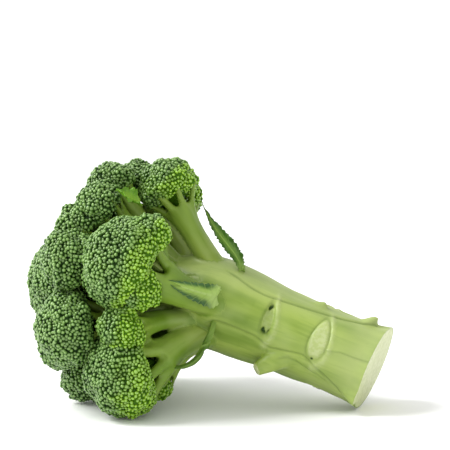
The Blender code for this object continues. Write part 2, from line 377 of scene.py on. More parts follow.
# %% [markdown]
# A finished mesh must not depend on live modifiers, so the nodes run once on each skin and the
# result is copied into a plain mesh.

# %% Helpers that finish a piece
def add_object(name, mesh):
    made = bpy.data.objects.new(name, mesh)
    bpy.context.scene.collection.objects.link(made)
    return made


def set_input(modifier, name, value):
    """Sets a named input of a Geometry Nodes modifier through its identifier."""
    for item in modifier.node_group.interface.items_tree:
        if item.item_type == "SOCKET" and item.in_out == "INPUT" and item.name == name:
            modifier[item.identifier] = value


def freeze(obj):
    """Swaps an object's mesh for the result of its modifiers and removes them."""
    graph = bpy.context.evaluated_depsgraph_get()
    mesh = bpy.data.meshes.new_from_object(obj.evaluated_get(graph))
    obj.modifiers.clear()
    obj.data = mesh
    return obj


def points_of(mesh):
    values = np.empty(len(mesh.vertices) * 3, np.float32)
    mesh.vertices.foreach_get("co", values)
    return values.reshape(-1, 3).astype(float)


def rest_on_table(mesh):
    """Flattens what would reach below the table."""
    points = points_of(mesh)
    points[:, 2] = np.maximum(points[:, 2], 0)
    mesh.vertices.foreach_set("co", np.ravel(points))
    mesh.update()


def triangles(obj):
    return sum(len(polygon.vertices) - 2 for polygon in obj.data.polygons)


# %% [markdown]
# Shader sums read best as sums. The small class Value wraps a node's output, so that +, - and *
# add the Math nodes, and one method of Finish makes any other node.

# %% Writing materials as expressions
class Value:
    """A socket that numbers and other sockets can be added to, subtracted from and so on."""

    def __init__(self, finish, socket):
        self.finish = finish
        self.socket = socket

    def _math(self, operation, first, second):
        return self.finish.node("ShaderNodeMath", {"operation": operation}, {0: first, 1: second})

    def __add__(self, other):
        return self._math("ADD", self, other)

    def __sub__(self, other):
        return self._math("SUBTRACT", self, other)

    def __rsub__(self, other):
        return self._math("SUBTRACT", other, self)

    def __mul__(self, other):
        return self._math("MULTIPLY", self, other)


class Finish:
    """A material and its Principled shader."""

    def __init__(self, name, **constants):
        self.material = bpy.data.materials.new(name)
        self.material.use_nodes = True
        self.tree = self.material.node_tree
        self.shader = self.tree.nodes["Principled BSDF"]
        for socket, value in constants.items():
            self.shader.inputs[socket.replace("_", " ")].default_value = value

    def node(self, kind, settings=None, inputs=None, output=0):
        made = self.tree.nodes.new(kind)
        for name, value in (settings or {}).items():
            setattr(made, name, value)
        for key, value in (inputs or {}).items():
            if isinstance(value, Value):
                self.tree.links.new(value.socket, made.inputs[key])
            else:
                made.inputs[key].default_value = value
        return Value(self, made.outputs[output])

    def attribute(self, name, output="Fac"):
        return self.node("ShaderNodeAttribute", {"attribute_name": name}, output=output)

    def place(self):
        return self.node("ShaderNodeTexCoord", output="Object")

    def noise(self, vector, scale, detail=2.0):
        return self.node("ShaderNodeTexNoise", None, {"Vector": vector, "Scale": scale, "Detail": detail})

    def step(self, value, low, high):
        """0 below low, 1 above high, smooth between."""
        return self.node(
            "ShaderNodeMapRange", {"interpolation_type": "SMOOTHSTEP"},
            {"Value": value, "From Min": low, "From Max": high},
        )

    def mix(self, share, first, second):
        return self.node("ShaderNodeMix", {"data_type": "RGBA"}, {0: share, 6: first, 7: second}, 2)

    def bump(self, height, distance, strength):
        inputs = {"Height": height, "Distance": distance, "Strength": strength}
        return self.node("ShaderNodeBump", None, inputs)

    def feed(self, **sockets):
        for name, value in sockets.items():
            self.tree.links.new(value.socket, self.shader.inputs[name.replace("_", " ")])


def colour(red, green, blue):
    """A shader's linear colour from the 0 to 255 values that a paint chart gives."""
    linear = [
        ((value / 255 + 0.055) / 1.055) ** 2.4 if value > 10 else value / 3294.6
        for value in (red, green, blue)
    ]
    return (*linear, 1.0)


print("a chart's middle grey, 128, is", round(colour(128, 128, 128)[0], 3), "in linear light")

# %% [markdown]
# Shade is painted into the gaps round each bud's foot, and a painted highlight makes it lightest at
# its tip. Ripe buds are grey green; those that grew in the shade at a floret's rim are smaller and
# yellow green.

# %% The buds' finish
def bud_finish():
    made = Finish("bud_skin", Roughness=0.5, Specular_IOR_Level=0.12, Coat_Roughness=0.26)
    height = made.attribute("bud_height")
    tone = made.attribute("bud_tone")
    yellow = made.attribute("yellow")
    place = made.place()
    patch = made.noise(place, 120.0, 3.0)
    ripe = made.mix(tone, colour(58, 96, 28), colour(90, 128, 52))
    fresh = made.mix(tone, colour(114, 160, 14), colour(148, 192, 36))
    body = made.mix(made.step(yellow + (patch - 0.5) * 0.7, 0.1, 0.75), ripe, fresh)
    # Painted shade for the gaps round each bud's foot, yellower under yellow buds.
    gap_shade = made.mix(yellow, colour(18, 44, 3), colour(62, 104, 5))
    # Painted highlight: the top of each bud is lightened towards a pale green.
    tip = made.mix(made.step(height, 0.6, 1.0) * 0.5, body, colour(156, 192, 104))
    # The foot of each bud and the skin between buds take the painted shade colour.
    painted_shade_and_highlight = made.mix(made.step(height, 0.15, 0.8), gap_shade, tip)
    # Painted shade in the creases between knots: the colour there is mixed towards the gap shade.
    crease_shade = made.step(1.0 - made.attribute("knot"), 0.45, 1.0) * 0.55
    made.feed(Base_Color=made.mix(crease_shade, painted_shade_and_highlight, gap_shade))
    made.feed(Coat_Weight=made.step(height, 0.45, 0.95))
    fine = made.noise(place, 1600.0, 2.0)
    made.feed(Normal=made.bump(fine, 0.2 * MM, 0.5))
    return made.material


BUD_FINISH = bud_finish()
print("the bud finish has", len(BUD_FINISH.node_tree.nodes), "nodes")

# %% [markdown]
# Now the nodes run on every skin. The florets at the rim have slightly larger buds, set slightly
# further apart, than those on top of the crown.

# %% Cover the florets
total = 0
for index, floret in enumerate(florets):
    piece = add_object("floret_buds_" + floret.name, floret_skin(floret))
    modifier = piece.modifiers.new("buds", "NODES")
    modifier.node_group = buds_on_skin
    set_input(modifier, "Spacing", BUD_SPACING[floret.kind])
    set_input(modifier, "Radius", BUD_RADIUS[floret.kind])
    set_input(modifier, "Seed", index)
    set_input(modifier, "Bud finish", BUD_FINISH)
    freeze(piece)
    rest_on_table(piece.data)
    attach(piece, "root")
    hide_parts("floret_" + floret.name)
    total += triangles(piece)
print("the crown has", total, "triangles")

# %% [markdown]
# The stalk and its branches are one body of flesh. The simplest way to such a body is to lay
# tapered tubes over each other and melt them later. Two cut leaf stems, a torn strip beside the cut
# face, a heel below it and a small bump are tubes too.

# %% Tubes for the stalk and branches
STALK_OUTLINE = [
    (-6, 22.2), (0, 20.8), (7, 19.3), (26, 19.0), (48, 19.6), (66, 21.4),
    (78, 22.4), (88, 21.5), (97, 18.5), (106, 14.0), (114, 9.0), (119, 1.5),
]
# Places and radii in millimetres, of what stands out of the stalk.
STUBS = {
    "leaf_stub_front": (
        [(-6, -13, 33), (-9.5, -16, 41), (-14, -18.5, 46), (-18, -21, 50)], [2.6, 4.4, 4.2, 3.2]
    ),
    "leaf_stub_back": ([(2, 13, 27), (6, 16.5, 35), (9.5, 21, 39.5), (13, 25, 43)], [2.6, 4.4, 4.2, 3.4]),
}
# The torn strip, the heel and the small bump.
BUMPS = [
    ([(17.6, -2, 15), (19.4, -2, 10.5), (21.8, -2, 8), (23.6, -2, 7)], [1.2, 2.2, 1.9, 0.8]),
    ([(-11, -13, 12), (-12.5, -14.5, 6), (-14, -16, 0), (-15, -17, -5)], [2.0, 3.4, 3.8, 4.0]),
    ([(18, -4.5, 38), (18.8, -4.8, 35), (19.6, -5, 33), (20.6, -5.2, 31)], [1.2, 1.8, 1.6, 1.0]),
]
FLARE = {"rim": 0.42, "crown": 0.3}  # radius of a branch where it meets its floret, in floret radii
TWIGS = {"rim": 7, "crown": 6}
SEATED_TWIGS = 3
VOXEL = 1.1 * MM
stalk_heights, stalk_radii = np.array(STALK_OUTLINE).T * MM


def tube(bm, places, radii, sides=16):
    """Adds a closed tube through the places to the bmesh."""
    rings = []
    for index, (place, radius) in enumerate(zip(places, radii)):
        ahead = places[min(index + 1, len(places) - 1)] - places[max(index - 1, 0)]
        across, beside, _ = axes_of(ahead)
        ring = []
        for k in range(sides):
            angle = 2 * math.pi * k / sides
            offset = Vector(across) * math.cos(angle) + Vector(beside) * math.sin(angle)
            ring.append(bm.verts.new(place + offset * radius))
        rings.append(ring)
    for low, high in zip(rings, rings[1:]):
        for k in range(sides):
            bm.faces.new((low[k], low[(k + 1) % sides], high[(k + 1) % sides], high[k]))
    bm.faces.new(list(reversed(rings[0])))
    bm.faces.new(rings[-1])


def grow_branch(bm, floret):
    """A tube that tapers along the branch and widens again over its last half."""
    shares = np.linspace(0, 1, 12)
    places = [bezier(floret.route, share) for share in shares]
    flare = FLARE[floret.kind] * floret.size - floret.thin
    radii = [floret.thick + (floret.thin - floret.thick) * share for share in shares]
    radii = [radius + flare * max(0, share - 0.5) ** 2 * 4 for radius, share in zip(radii, shares)]
    tube(bm, places, radii)


def grow_twigs(bm, floret, rng):
    """Twigs that fan out of the branch and carry the rim of the bud dome from below."""
    seated = floret.name in SEATED
    count = SEATED_TWIGS if seated else TWIGS[floret.kind]
    start = bezier(floret.route, 0.85 if seated else 0.6)
    shares = np.linspace(0, 1, 9)
    radii = [(0.22 - 0.14 * share) * floret.size for share in shares]
    for k in range(count):
        angle = 2 * math.pi * (k + rng.uniform(-0.2, 0.2)) / count
        lean = math.radians(rng.uniform(80, 104))
        side = Vector(floret.axes[0]) * math.cos(angle) + Vector(floret.axes[1]) * math.sin(angle)
        end = floret.centre + (side * math.sin(lean) + floret.axis * math.cos(lean)) * 0.82 * floret.size
        bend = floret.neck + side * 0.22 * floret.size
        route = [start, (start + floret.neck) / 2 + side * 0.15 * floret.size, bend, end]
        tube(bm, [bezier(route, share) for share in shares], radii, 10)


def lay_stub(bm, places, radii):
    """A short tube through four places, with more rings read between them."""
    route = [Vector(place) * MM for place in places]
    given = np.linspace(0, 1, len(route))
    shares = np.linspace(0, 1, 7)
    widths = np.interp(shares, given, np.array(radii) * MM)
    corners = [np.interp(shares, given, [point[i] for point in route]) for i in range(3)]
    tube(bm, [Vector(corner) for corner in zip(*corners)], widths, 14)


def lay_tubes():
    bm = bmesh.new()
    heights = np.linspace(stalk_heights[0], stalk_heights[-1], 40)
    widths = np.interp(heights, stalk_heights, stalk_radii)
    tube(bm, [Vector((0, 0, height)) for height in heights], widths, 48)
    for index, floret in enumerate(florets):
        if floret.name not in SEATED:
            grow_branch(bm, floret)
        grow_twigs(bm, floret, np.random.default_rng(500 + index))
    for places, radii in [*STUBS.values(), *BUMPS]:
        lay_stub(bm, places, radii)
    mesh = bpy.data.meshes.new("stalk_flesh")
    bm.to_mesh(mesh)
    bm.free()
    return mesh


stalk = add_object("stalk_and_branches", lay_tubes())
print("the tubes have", len(stalk.data.polygons), "faces before they melt")

# %% [markdown]
# A voxel remesh keeps only the outside of everything that overlaps, so the tubes become one closed
# skin. A few rounds of smoothing then ease the corners where the branches leave the stalk.

# %% Melt the tubes
melt = stalk.modifiers.new("melt", "REMESH")
melt.mode = "VOXEL"
melt.voxel_size = VOXEL
melt.use_smooth_shade = True
ease = stalk.modifiers.new("ease", "SMOOTH")
ease.iterations = 4
ease.factor = 0.5
freeze(stalk)
print("the stalk has", triangles(stalk), "triangles")

# %% [markdown]
# Where leaves were broken off, the skin keeps an oval scar with a rim, and seams run down from it
# like the edge of a coat. Both are lines on the unrolled stalk: a turn round it and a height.

# %% Seams and scars on the unrolled stalk
ARC = math.radians(20)  # millimetres along the skin for one degree of turn, on a radius of 20 mm
REFINE_REACHES = (1.8, 0.9)  # mm from a mark, for the first and the second halving of its faces
# Each seam: its course as turns and heights, its depth, and how far one side stands above the other.
SEAMS = [
    ([(326, 80), (318, 66), (316, 58), (322, 46), (325, 37), (329, 28), (337, 18), (350, 6)], 0.45, 0.35),
    ([(252, 80), (261, 76), (262, 66), (260, 55), (251, 49),
      (255, 42), (260, 32), (250, 26), (238, 17), (222, 9)], 0.45, -0.35),
    ([(240, 46), (250, 39), (244, 31), (236, 19)], 0.25, 0.15),
    ([(278, 23), (283, 17), (283, 11), (285, 3)], -0.3, 0.1),
    ([(20, 78), (28, 62), (24, 48), (12, 34), (6, 20)], 0.4, 0.3),
    ([(150, 70), (140, 56), (146, 42), (130, 28), (122, 12)], 0.4, -0.3),
    ([(190, 66), (196, 52), (188, 38), (200, 24)], 0.35, 0.3),
    ([(80, 30), (84, 20), (82, 8)], -0.3, 0.1),
]
# Each scar: turn and height of its middle, half its length round the stalk and half its width along
# it in mm, its slant, how far its middle stands out, and whether its ends are open holes.
SCARS = [
    (289, 28.0, 11.6, 4.4, -0.02, 0.5, 0.0),
    (288, 53.3, 9.0, 2.9, 0.06, -1.3, 1.0),
    (92, 46.0, 9.0, 3.6, 0.05, 0.4, 0.0),
    (170, 24.0, 9.0, 3.2, -0.04, -0.7, 1.0),
    (30, 30.0, 8.0, 3.4, 0.03, 0.4, 0.0),
]
print(len(SEAMS), "seams and", len(SCARS), "scars")

# %% [markdown]
# The distance from a point to a line gives how far the skin is pressed in and how dark it is there.
# One side of a seam stands above the other, as overlapping layers of skin do, and some scars have
# open holes at their ends, pressed in and painted dark as shade.

# %% How the lines mark the skin

def unrolled(points):
    """Turn and height of each point, and how much it lies on the stalk rather than on a branch."""
    turn = np.degrees(np.arctan2(points[:, 1], points[:, 0])) % 360
    out = np.hypot(points[:, 0], points[:, 1]) - np.interp(points[:, 2], stalk_heights, stalk_radii)
    on_stalk = 1 - smooth_step(np.abs(out), 2.5 * MM, 4.5 * MM)
    return turn, points[:, 2] / MM, on_stalk * (1 - smooth_step(points[:, 2], 76 * MM, 82 * MM))


def arc_from(turn, middle):
    return ((turn - middle + 180) % 360 - 180) * ARC


def distance_to_seam(course, turn, height):
    """Distance from a seam in mm, with a sign for the side."""
    corners = np.array(course, float)
    shares = np.linspace(0, len(corners) - 1, 8 * len(corners))
    dense = np.stack([np.interp(shares, range(len(corners)), corners[:, i]) for i in (0, 1)], 1)
    for _ in range(6):
        dense[1:-1] = (dense[:-2] + 2 * dense[1:-1] + dense[2:]) / 4
    middle = corners[:, 0].mean()
    line = np.stack([arc_from(dense[:, 0], middle), dense[:, 1]], 1)
    spot = np.stack([arc_from(turn, middle), height], 1)
    nearest = np.full(len(spot), 99.0)
    for start, end in zip(line, line[1:]):
        along = end - start
        share = np.clip((spot - start) @ along / (along @ along), 0, 1)
        away = spot - start - share[:, None] * along
        length = np.linalg.norm(away, axis=1)
        side = np.sign(along[0] * away[:, 1] - along[1] * away[:, 0])
        nearest = np.where(length < np.abs(nearest), length * side, nearest)
    return nearest


def marks(points):
    """For each point: its distance to the nearest line, how far it moves out in mm, and its colours."""
    turn, height, on_stalk = unrolled(points)
    near = np.full(len(points), 99.0)
    out, line, pale, hole_shade = np.zeros((4, len(points)))
    for course, depth, rise in SEAMS:
        distance = distance_to_seam(course, turn, height)
        near = np.minimum(near, np.abs(distance))
        out += rise * np.tanh(distance / 0.8) * np.exp(-((distance / 3.5) ** 2))
        out -= depth * np.exp(-((distance / 0.5) ** 2))
        line = np.maximum(line, min(1, abs(depth) * 2) * np.exp(-((distance / 0.45) ** 2)))
    for middle, level, length, width, slant, rise, open_ends in SCARS:
        arc = arc_from(turn, middle)
        across = height - level - slant * arc
        share = np.hypot(arc / length, across / (width * (1 - 0.28 * np.clip(arc / length, -1, 1))))
        distance = (share - 1) * width
        near = np.minimum(near, np.abs(distance))
        inside = 1 - smooth_step(share, 0.7, 1.0)
        out += rise * inside - 0.25 * np.exp(-((distance / 0.5) ** 2))
        lip = np.exp(-(((distance - 1.2) / 1.0) ** 2)) * smooth_step(-across, -1, 2)
        out += 0.4 * lip
        line = np.maximum(line, np.exp(-((distance / 0.5) ** 2)) * (0.15 + 0.45 * smooth_step(across, -1, 2)))
        pale = np.maximum(np.maximum(pale, 0.5 * lip), inside * (0.35 if open_ends else 0.85))
        ends = smooth_step(np.abs(arc) / length + 0.12 * np.sin(across * 2.1), 0.5, 0.72) * inside
        # The holes at the ends are painted dark as shade, on top of being pressed in.
        hole_shade = np.maximum(hole_shade, ends * open_ends)
        out -= 1.2 * ends * open_ends
        if not open_ends:
            # A small dent at one end of a closed scar, pressed in and painted dark as shade.
            dot = np.exp(-(((arc + length * 0.93) / 0.8) ** 2 + (across / 0.8) ** 2))
            hole_shade = np.maximum(hole_shade, dot)
            out -= 0.8 * dot
    return near, out * on_stalk, line * on_stalk, pale * on_stalk, hole_shade * on_stalk


on_a_mark = marks(points_of(stalk.data))[0] < 1
print(int(on_a_mark.sum()), "points of the skin lie within 1 mm of a mark")

# %% [markdown]
# The melted skin is too coarse for a thin seam, so its faces are halved twice near the marks and
# left alone elsewhere.

# %% Finer faces near the marks
def refine(mesh, reach):
    """Halves the faces that lie within reach, in mm, of a seam or a scar's edge."""
    points = points_of(mesh)
    near = marks(points)[0]
    on_stalk = unrolled(points)[2]
    chosen = (near < reach) & (on_stalk > 0.2)
    bm = bmesh.new()
    bm.from_mesh(mesh)
    bm.verts.ensure_lookup_table()
    edges = [edge for edge in bm.edges if chosen[edge.verts[0].index] and chosen[edge.verts[1].index]]
    bmesh.ops.subdivide_edges(bm, edges=edges, cuts=1, use_grid_fill=True)
    bm.to_mesh(mesh)
    bm.free()


for reach in REFINE_REACHES:
    refine(stalk.data, reach)
print("after refining,", triangles(stalk), "triangles")

# %% [markdown]
# Fibres run along the stalk and along each branch. A point's place in the frame of the tube that
# it lies on, squeezed along that tube, turns any noise into streaks that follow the fibres.

# %% The run of the fibres
FIBRE_STRETCH = 9


def courses():
    """Places and radii along the stalk and along every branch."""
    yield [Vector((0, 0, height)) for height in stalk_heights[:8]], stalk_radii[:8]
    for floret in florets:
        shares = np.linspace(0.12, 1, 6)
        yield ([bezier(floret.route, share) for share in shares],
               [floret.thick + (floret.thin - floret.thick) * share for share in shares])


def fibres(points):
    """Each point's place in the frame of its tube, and its share of the way to the floret."""
    closest = np.full(len(points), 9.0)
    grain = np.zeros((len(points), 3))
    way = np.zeros(len(points))
    for number, (places, radii) in enumerate(courses()):
        across, beside, _ = axes_of(places[-1] - places[0])
        walked = 0.0
        total = sum((b - a).length for a, b in zip(places, places[1:]))
        for a, b, start_radius, end_radius in zip(places, places[1:], radii, radii[1:]):
            along = np.array(b - a)
            length = (b - a).length
            share = np.clip((points - np.array(a)) @ along / length**2, 0, 1)
            away = points - np.array(a) - share[:, None] * along
            gap = np.linalg.norm(away, axis=1) - (start_radius + (end_radius - start_radius) * share)
            here = gap < closest
            closest[here] = gap[here]
            done = walked + share * length
            local = np.stack([away @ across, away @ beside, done / FIBRE_STRETCH + number * 0.05], 1)
            grain[here] = local[here]
            way[here] = (done / total)[here] if number else 0
            walked += length
    return grain, way


def carve(mesh):
    """Presses the marks and some shallow ribs into the skin, stores what the finish needs, and
    gives the depth of the deepest mark in mm."""
    points = points_of(mesh)
    normals = np.empty(len(points) * 3, np.float32)
    mesh.vertex_normals.foreach_get("vector", normals)
    normals = normals.reshape(-1, 3)
    _, out, line, pale, hole_shade = marks(points)
    grain, way = fibres(points)
    wax_and_painted_light = (1 - smooth_step(points[:, 2], 4 * MM, 46 * MM)) * (0.75 + 0.25 * wavy(points, 10 * MM, 8))
    # Painted shade: the pale wax fades on the underside of the lying stalk.
    wax_and_painted_light *= 0.45 + 0.55 * smooth_step(points[:, 0], -18 * MM, 4 * MM)
    # Painted light: the top of the lying stalk is made pale along its length.
    wax_and_painted_light = np.maximum(wax_and_painted_light, 0.7 * smooth_step(points[:, 0], 8 * MM, 19 * MM) * (way == 0))
    ribs = wavy(grain, 7 * MM, 5) * (0.35 + 0.5 * way) + wavy(points, 14 * MM, 6) * 0.5
    points += normals * ((out + ribs) * MM)[:, None]
    mesh.vertices.foreach_set("co", np.ravel(points))
    mesh.update()
    way = smooth_step(way, 0.4, 1.0)
    for name, values in (("line", line), ("pale", pale), ("hole_shade", hole_shade), ("way", way), ("wax_and_painted_light", wax_and_painted_light)):
        store(mesh, name, values)
    store(mesh, "grain", grain, "FLOAT_VECTOR")
    return -out.min()


print("the marks press in", round(carve(stalk.data), 1), "mm at most")

# %% [markdown]
# The knife cut the stalk a little askew. The skin is cut along that plane, and rings towards the
# middle of the cut face give its flesh points that can sink a little and carry a colour.

# %% The cut face
CUT_NORMAL = Vector((0, -math.sin(CUT_SKEW), -math.cos(CUT_SKEW)))
CUT_RINGS = (0.985, 0.96, 0.92, 0.87, 0.8, 0.7, 0.6, 0.5, 0.4, 0.3, 0.2, 0.1)  # shares of the rim's size
CUT_SINK = 0.25 * MM
STUB_TIP_REACH = 4.5 * MM
STUB_TIP_DEPTH = 0.9 * MM


def rim_of_cut(bm):
    """The open edge's vertices in order, walking from one to the next."""
    rim = [edge for edge in bm.edges if edge.is_boundary]
    start = rim[0].verts[0]
    loop = [start, rim[0].verts[1]]
    while True:
        following = [edge.other_vert(loop[-1]) for edge in loop[-1].link_edges if edge.is_boundary]
        ahead = [vertex for vertex in following if vertex is not loop[-2]][0]
        if ahead is start:
            return loop
        loop.append(ahead)


def fill_cut(bm, loop, cut):
    """Rings of faces from the rim to a hub at the middle, sunk a little and slightly uneven."""
    middle = sum((vertex.co for vertex in loop), Vector()) / len(loop)
    last = loop
    for share in CUT_RINGS:
        ring = []
        for vertex in loop:
            place = middle + (vertex.co - middle) * share
            sink = CUT_SINK * (1 - share) + 0.12 * MM * noise.noise(place / (2.5 * MM))
            made = bm.verts.new(place - CUT_NORMAL * sink)
            made[cut] = 1.0 - 0.5 * max(0, share - 0.9) * 10
            ring.append(made)
        for k in range(len(loop)):
            after = (k + 1) % len(loop)
            bm.faces.new((last[k], last[after], ring[after], ring[k]))
        last = ring
    hub = bm.verts.new(middle - CUT_NORMAL * CUT_SINK)
    hub[cut] = 1.0
    for k in range(len(loop)):
        bm.faces.new((last[k], last[(k + 1) % len(loop)], hub))


def mark_stub_tips(bm, cut):
    """The cut leaf stems show flesh at their tips too."""
    for places, _ in STUBS.values():
        tip = Vector(places[-1]) * MM
        ahead = (tip - Vector(places[-2]) * MM).normalized()
        for vertex in bm.verts:
            from_tip = vertex.co - tip
            if from_tip.length < STUB_TIP_REACH and from_tip.dot(ahead) > -STUB_TIP_DEPTH:
                vertex[cut] = 0.8


def cut_stalk(mesh):
    bm = bmesh.new()
    bm.from_mesh(mesh)
    everything = bm.verts[:] + bm.edges[:] + bm.faces[:]
    bmesh.ops.bisect_plane(
        bm, geom=everything, dist=1e-7, plane_co=(0, 0, 0), plane_no=CUT_NORMAL, clear_outer=True
    )
    cut = bm.verts.layers.float.new("cut")
    fill_cut(bm, rim_of_cut(bm), cut)
    mark_stub_tips(bm, cut)
    bmesh.ops.recalc_face_normals(bm, faces=bm.faces)
    for face in bm.faces:
        face.smooth = True
    bm.to_mesh(mesh)
    bm.free()
    mesh.set_sharp_from_angle(angle=math.radians(50))


cut_stalk(stalk.data)
stalk.data.transform(TO_TABLE)
rest_on_table(stalk.data)
print("the finished stalk has", triangles(stalk), "triangles")

# %% [markdown]
# The stalk's skin is pale and waxy near the cut and a stronger green on the branches; painted light
# makes the top of the lying stalk paler and painted shade leaves its underside less pale. Streaks
# follow the fibres, seams are thin dark lines, and scars and cut faces show the cream flesh.

# %% The stalk's finish
def stalk_finish():
    made = Finish("stalk_skin", Roughness=0.38, Specular_IOR_Level=0.36)
    grain = made.attribute("grain", "Vector")
    place = made.place()
    way, line, pale, hole_shade, cut = map(made.attribute, ("way", "line", "pale", "hole_shade", "cut"))
    streak = made.noise(grain, 420.0, 3.0)
    broad = made.noise(grain, 110.0, 2.0)
    cloud = made.noise(place, 45.0, 2.0)
    body = made.mix(made.step(broad, 0.32, 0.68), colour(98, 128, 28), colour(146, 167, 72))
    body = made.mix(made.step(streak, 0.5, 0.7) * 0.38, body, colour(94, 124, 24))
    body = made.mix(made.step(cloud, 0.45, 0.7) * 0.4, body, colour(164, 180, 104))
    # Pale wax near the cut, plus painted light along the lying stalk's top and painted shade on its
    # underside.
    body = made.mix(made.attribute("wax_and_painted_light") * 0.6, body, colour(178, 188, 128))
    body = made.mix(made.step(way, 0.1, 0.9) * 0.6, body, colour(106, 138, 36))
    body = made.mix(line * 0.45, body, colour(70, 96, 26))
    pith = made.step(made.noise(place, 700.0), 0.4, 0.6)
    inner = made.mix(pith, colour(176, 188, 124), colour(190, 198, 148))
    body = made.mix(pale * 0.75, body, inner)
    # Painted shade: the holes at the scars' ends and the small dents are coloured dark green.
    body = made.mix(made.step(hole_shade, 0.2, 0.9), body, colour(46, 76, 20))
    rings = made.noise(place, 500.0, 3.0)
    flesh = made.mix(made.step(rings, 0.35, 0.65), colour(182, 190, 132), colour(198, 204, 156))
    body = made.mix(made.step(cut, 0.3, 0.9), body, flesh)
    made.feed(Base_Color=body)
    made.feed(Roughness=made.step(streak, 0.3, 0.7) * 0.15 + 0.34)
    made.feed(Normal=made.bump(streak + rings * 0.3, 0.25 * MM, 0.4))
    return made.material


stalk.data.materials.append(stalk_finish())
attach(stalk, "root")
carried = ["branch_" + floret.name for floret in florets if floret.name not in SEATED]
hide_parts("stalk", *carried, *STUBS)
print("the stalk stands for", len(carried) + 1 + len(STUBS), "nodes")

# %% [markdown]
# A few small leaves are left between the branches. Each is described by the curve of its midrib
# and a handful of sizes, so that one function can make them all.

# %% The leaves' places
# For each leaf, in mm: its midrib's four control points, the way its face looks, its width, cup and
# thickness, how strongly its edge is toothed, and how far its shape goes from a lens (0) towards a
# scoop that is widest at its foot (1).
LEAVES = {
    "leaf_long": (
        [(17, -8, 73), (30, -13, 75), (28, -11, 89), (44, -6, 104)],
        (0.3, -1, -0.35), 5.0, 2.2, 0.8, 1.4, 0.0,
    ),
    "leaf_small": (
        [(8, -26, 78), (8, -34, 83), (8, -39.5, 92), (9, -43, 101)],
        (0.1, -1, 0), 11, 3.2, 0.8, 0.7, 0.9,
    ),
    "leaf_strip": (
        [(-4, -20, 77), (-18, -30, 72), (-27, -33, 76), (-30, -32, 86)],
        (-1, -0.5, 0), 4.2, 0.8, 2.0, 0.1, 0.3,
    ),
    "leaf_back": (
        [(2, 20, 76), (2, 31, 80), (4, 33, 89), (4, 30, 96)],
        (0, 1, 0), 11, 2.8, 0.8, 0.7, 0.8,
    ),
    "bract": (
        [(34, -20, 128), (35, -25, 130), (36, -28, 134), (37, -29, 139)],
        (1, -0.6, -0.4), 7.5, 2.6, 1.4, 1.8, 0.3,
    ),
}
print(len(LEAVES), "leaves")

# %% [markdown]
# Each leaf is a strip along its midrib. Its edge is toothed and waves in and out, the blade is
# cupped, and a thin second side closes it.

# %% Leaf blades
LEAF_ROWS = 60
LEAF_COLUMNS = 17
TOOTH_LENGTH = 2.6  # mm along the edge
VEIN_DEPTH = 0.25 * MM
ACROSS = [2 * column / (LEAF_COLUMNS - 1) - 1 for column in range(LEAF_COLUMNS)]  # -1 to 1, edge to edge


def half_width(share, scoop):
    """Half the blade's width as a share of the widest, by the share of the way to its tip."""
    lens = 0.22 + 0.78 * math.sin(math.pi * min(1, share * 1.1) ** 1.1)
    lens *= 1 - 0.75 * max(0, share - 0.8) / 0.2
    scooped = min(1, 0.55 + share * 3) * (1.04 - share**1.3)
    return lens * (1 - scoop) + scooped * scoop


def leaf_grid(route, face, width, cup, teeth, scoop, seed):
    """Rows of points across the blade, each with the way its face looks and its share of the way."""
    length = sum((b - a).length for a, b in zip(route, route[1:]))
    grid = []
    for row in range(LEAF_ROWS + 1):
        share = row / LEAF_ROWS
        ahead = (bezier(route, min(1, share + 0.01)) - bezier(route, max(0, share - 0.01))).normalized()
        side = ahead.cross(face).normalized()
        out = side.cross(ahead).normalized()
        middle = bezier(route, share)
        half = width / 2 * half_width(share, scoop) * MM
        run = share * length / MM
        line = []
        for across in ACROSS:
            edge = abs(across) ** 3
            jitter = 0.5 * noise.noise(Vector((run / 4, across, seed + 9)))
            tooth = (run / TOOTH_LENGTH + jitter + 0.4 * (across > 0)) % 1
            reach = 1 + teeth * edge * 0.28 * (1 - 1.6 * abs(tooth - 0.35))
            wave = teeth * edge * 1.8 * MM * noise.noise(Vector((run / 3.6, across * 2, seed)))
            vein = VEIN_DEPTH * math.exp(-((across / 0.12) ** 2))
            curl = cup * MM * (abs(across) ** 2.2) * (half / (width / 2 * MM)) + wave - vein
            line.append(middle + side * half * across * reach + out * curl)
        grid.append((line, out, share))
    return grid


def leaf_mesh(name, points, face, width, cup, thickness, teeth, scoop, seed):
    """A closed blade with attributes for how far along and how far across each point lies."""
    route = [Vector(point) * MM for point in points]
    grid = leaf_grid(route, Vector(face).normalized(), width, cup, teeth, scoop, seed)
    bm = bmesh.new()
    along_layer = bm.verts.layers.float.new("along")
    across_layer = bm.verts.layers.float.new("across")
    sides = []
    for below in (0, 1):
        sheet = []
        for places, out, share in grid:
            line = []
            for across, place in zip(ACROSS, places):
                thin = thickness * MM * (1 - 0.6 * abs(across)) * (1 - 0.5 * share)
                vertex = bm.verts.new(place - out * thin * below)
                vertex[along_layer] = share
                vertex[across_layer] = across
                line.append(vertex)
            sheet.append(line)
        sides.append(sheet)
    top, bottom = sides
    for r in range(LEAF_ROWS):
        for c in range(LEAF_COLUMNS - 1):
            bm.faces.new((top[r][c], top[r][c + 1], top[r + 1][c + 1], top[r + 1][c]))
            bm.faces.new((bottom[r][c], bottom[r + 1][c], bottom[r + 1][c + 1], bottom[r][c + 1]))
        for c in (0, LEAF_COLUMNS - 1):
            bm.faces.new((top[r][c], top[r + 1][c], bottom[r + 1][c], bottom[r][c]))
    for r in (0, LEAF_ROWS):
        for c in range(LEAF_COLUMNS - 1):
            bm.faces.new((top[r][c], top[r][c + 1], bottom[r][c + 1], bottom[r][c]))
    bmesh.ops.recalc_face_normals(bm, faces=bm.faces)
    for polygon in bm.faces:
        polygon.smooth = True
    bm.transform(TO_TABLE)
    mesh = bpy.data.meshes.new(name)
    bm.to_mesh(mesh)
    bm.free()
    return mesh


